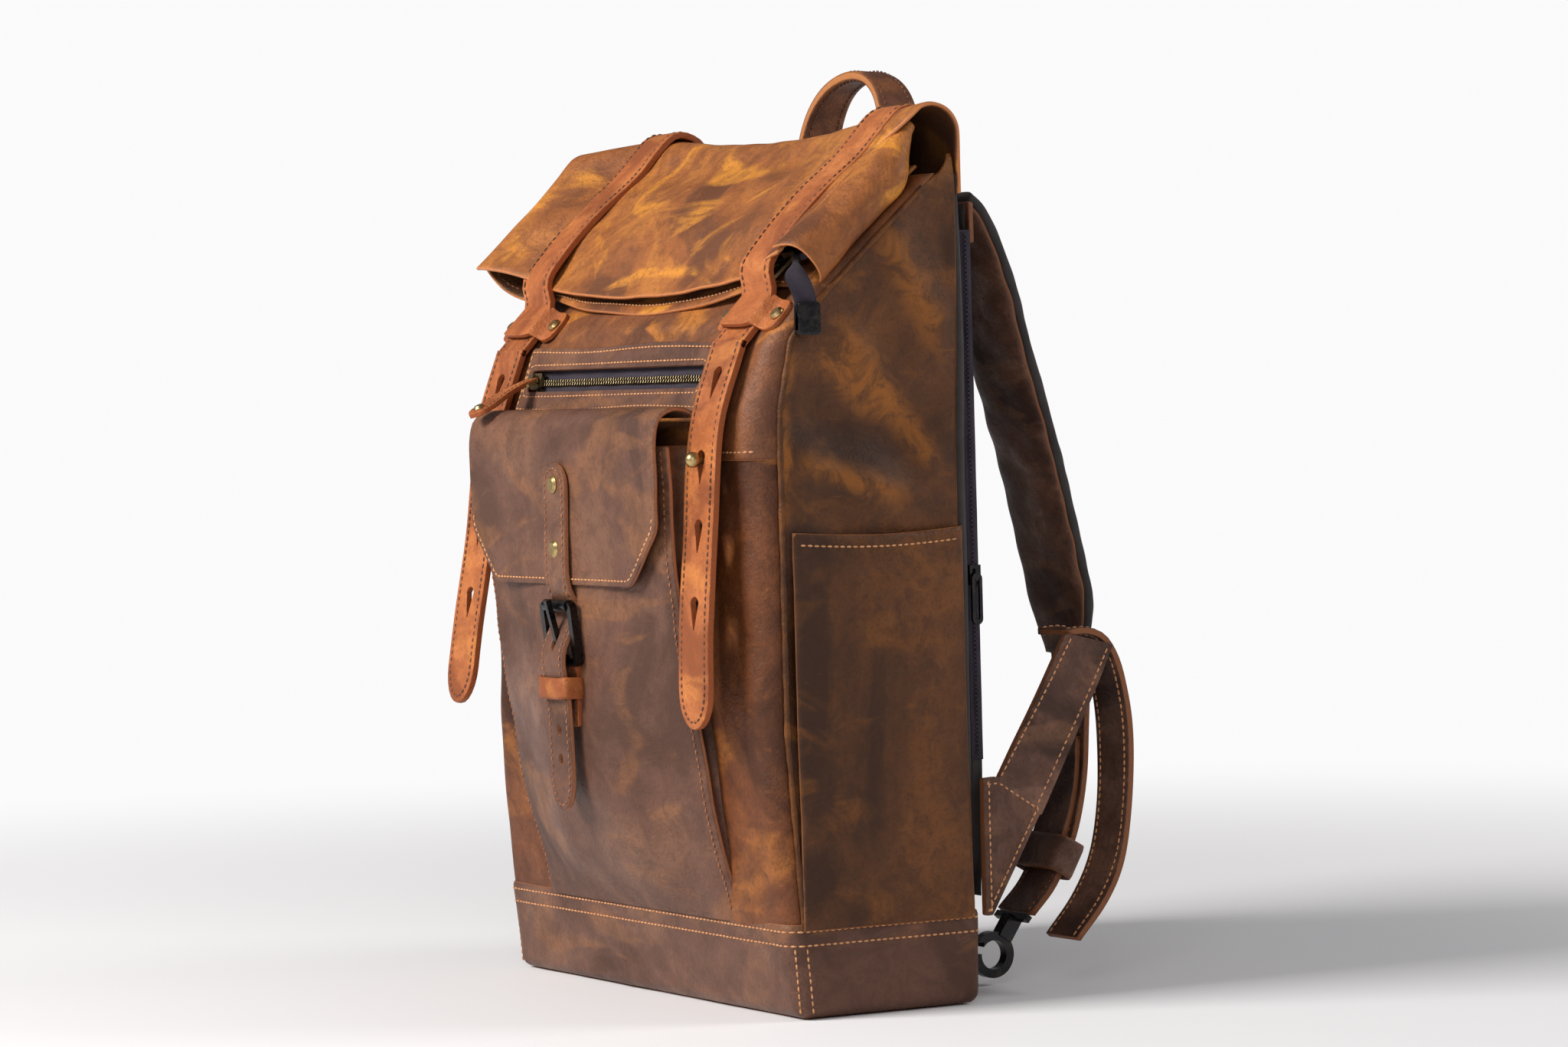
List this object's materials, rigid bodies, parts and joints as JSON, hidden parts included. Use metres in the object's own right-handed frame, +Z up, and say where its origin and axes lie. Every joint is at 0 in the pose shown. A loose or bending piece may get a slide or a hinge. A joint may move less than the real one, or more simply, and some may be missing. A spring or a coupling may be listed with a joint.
{
  "type": "roll-top backpack",
  "caption": "Leather roll-top backpack with buckled front pocket, two stud-closed straps over the roll, side pockets, grab handle and padded shoulder straps",
  "frame": {"origin": "middle of the underside of the bag, on the surface that it stands on", "axes": "+Z up the bag, -Y out of its front, +X to the right seen from the front"},
  "size_m": [0.3168, 0.2642, 0.4758],
  "materials": {
    "body_leather": "waxed pull-up leather",
    "pocket_leather": "waxed pull-up leather, dark",
    "strap_leather": "waxed strap leather, raw orange edges",
    "dark_strap_leather": "waxed strap leather, dark",
    "pad_fabric": "padded lining fabric",
    "lining_fabric": "plain lining",
    "zip_tape": "woven zip tape",
    "zip_metal": "antique brass",
    "brass": "antique brass, polished",
    "black_metal": "black nickel, glossy",
    "board": "stiff base board"
  },
  "bodies": {
    "root": {"bottom_panel": "body_leather", "base_band": "body_leather", "front_panel_lower": "body_leather", "front_panel_upper": "body_leather", "side_gusset_left": "body_leather", "side_gusset_right": "body_leather", "side_pocket_left": "body_leather", "side_pocket_right": "body_leather", "ridge_leather": "body_leather", "front_pocket_panel": "pocket_leather", "front_pocket_gusset": "pocket_leather", "front_zip_facing": "pocket_leather", "strap_keeper_left": "strap_leather", "strap_keeper_right": "strap_leather", "buckle_chape": "strap_leather", "buckle_keeper": "strap_leather", "strap_yoke": "strap_leather", "back_pad": "pad_fabric", "lining": "lining_fabric", "zip_pocket_bag": "lining_fabric", "back_panel": "lining_fabric", "laptop_gusset": "lining_fabric", "front_zip_tape": "zip_tape", "back_zip_tape": "zip_tape", "front_zip_teeth": "zip_metal", "studs_and_rivets": "brass", "base_board": "board"},
    "roll_top": {"roll_outer_panel": "body_leather", "roll_inner_panel": "body_leather", "roll_gusset_left": "body_leather", "roll_gusset_right": "body_leather", "top_zip_tape": "zip_tape", "top_zip_clip": "zip_metal", "closure_strap_left": "strap_leather", "closure_strap_right": "strap_leather"},
    "top_zip_slider": {"top_zip_slider": "zip_metal"},
    "strap_tail_left": {"closure_tail_left": "strap_leather"},
    "strap_tail_right": {"closure_tail_right": "strap_leather"},
    "pocket_flap": {"pocket_flap": "pocket_leather", "flap_tongue": "strap_leather", "flap_rivets": "brass"},
    "buckle": {"buckle_frame": "black_metal"},
    "buckle_roller": {"buckle_roller": "black_metal"},
    "buckle_prong": {"buckle_prong": "black_metal"},
    "front_zip_slider": {"front_zip_slider": "zip_metal"},
    "front_zip_pull": {"front_zip_pull": "strap_leather", "front_zip_pull_ring": "brass"},
    "back_zip_slider": {"back_zip_slider": "black_metal"},
    "grab_handle": {"grab_handle": "strap_leather"},
    "shoulder_left": {"shoulder_strap_left": "pad_fabric", "adjuster_strap_left": "dark_strap_leather", "snap_hook_left": "black_metal"},
    "shoulder_right": {"shoulder_strap_right": "pad_fabric", "adjuster_strap_right": "dark_strap_leather", "snap_hook_right": "black_metal"},
    "lower_strap_left": {"lower_strap_left": "dark_strap_leather"},
    "lower_strap_right": {"lower_strap_right": "dark_strap_leather"}
  },
  "joints": [
    {"name": "roll_top_unfold", "type": "hinge", "parent": "root", "child": "roll_top", "pos_m": [0, 0.036, 0.436], "axis": [-1, 0, 0], "range_deg": [0, 118], "deforming": ["closure_strap_left", "closure_strap_right"]},
    {"name": "top_zip_slide", "type": "slide", "parent": "roll_top", "child": "top_zip_slider", "axis": [-1, 0, 0], "range_m": [0, 0.262]},
    {"name": "strap_tail_left_lift", "type": "hinge", "parent": "roll_top", "child": "strap_tail_left", "pos_m": [-0.12, -0.063, 0.336], "axis": [-1, 0, 0], "range_deg": [0, 80], "deforming": ["closure_tail_left"]},
    {"name": "strap_tail_right_lift", "type": "hinge", "parent": "roll_top", "child": "strap_tail_right", "pos_m": [0.12, -0.063, 0.336], "axis": [-1, 0, 0], "range_deg": [0, 80], "deforming": ["closure_tail_right"]},
    {"name": "pocket_flap_open", "type": "hinge", "parent": "root", "child": "pocket_flap", "pos_m": [0, -0.0745, 0.298], "axis": [-1, 0, 0], "range_deg": [0, 70], "deforming": ["flap_tongue"]},
    {"name": "buckle_tilt", "type": "hinge", "parent": "root", "child": "buckle", "pos_m": [0, -0.0982, 0.174], "axis": [1, 0, 0], "range_deg": [0, 60]},
    {"name": "roller_spin", "type": "hinge", "parent": "buckle", "child": "buckle_roller", "pos_m": [0, -0.1015, 0.203], "axis": [1, 0, 0], "continuous": true},
    {"name": "prong_lift", "type": "hinge", "parent": "buckle", "child": "buckle_prong", "pos_m": [0, -0.0982, 0.174], "axis": [1, 0, 0], "range_deg": [0, 38]},
    {"name": "front_zip_slide", "type": "slide", "parent": "root", "child": "front_zip_slider", "axis": [1, 0, 0], "range_m": [0, 0.174]},
    {"name": "front_zip_pull_lift", "type": "hinge", "parent": "front_zip_slider", "child": "front_zip_pull", "pos_m": [-0.087, -0.06773, 0.3187], "axis": [-1, 0, 0], "range_deg": [0, 45]},
    {"name": "back_zip_slide", "type": "slide", "parent": "root", "child": "back_zip_slider", "axis": [0, 0, 1], "range_m": [-0.07, 0.165]},
    {"name": "grab_handle_fold", "type": "hinge", "parent": "root", "child": "grab_handle", "pos_m": [0, 0.076, 0.414], "axis": [-1, 0, 0], "range_deg": [-8, 90]},
    {"name": "shoulder_strap_left_swing", "type": "hinge", "parent": "root", "child": "shoulder_left", "pos_m": [-0.092, 0.077, 0.41], "axis": [1, 0, 0], "range_deg": [0, 60]},
    {"name": "lower_strap_left_swing", "type": "hinge", "parent": "root", "child": "lower_strap_left", "pos_m": [-0.152, 0.0555, 0.08], "axis": [0, 0, 1], "range_deg": [0, 60]},
    {"name": "shoulder_strap_right_swing", "type": "hinge", "parent": "root", "child": "shoulder_right", "pos_m": [0.092, 0.077, 0.41], "axis": [1, 0, 0], "range_deg": [0, 60]},
    {"name": "lower_strap_right_swing", "type": "hinge", "parent": "root", "child": "lower_strap_right", "pos_m": [0.152, 0.0555, 0.08], "axis": [0, 0, -1], "range_deg": [0, 60]}
  ],
  "couplings": [
    {"joint": "front_zip_pull_lift", "follows": "pocket_flap_open", "ratio": 0.6}
  ]
}
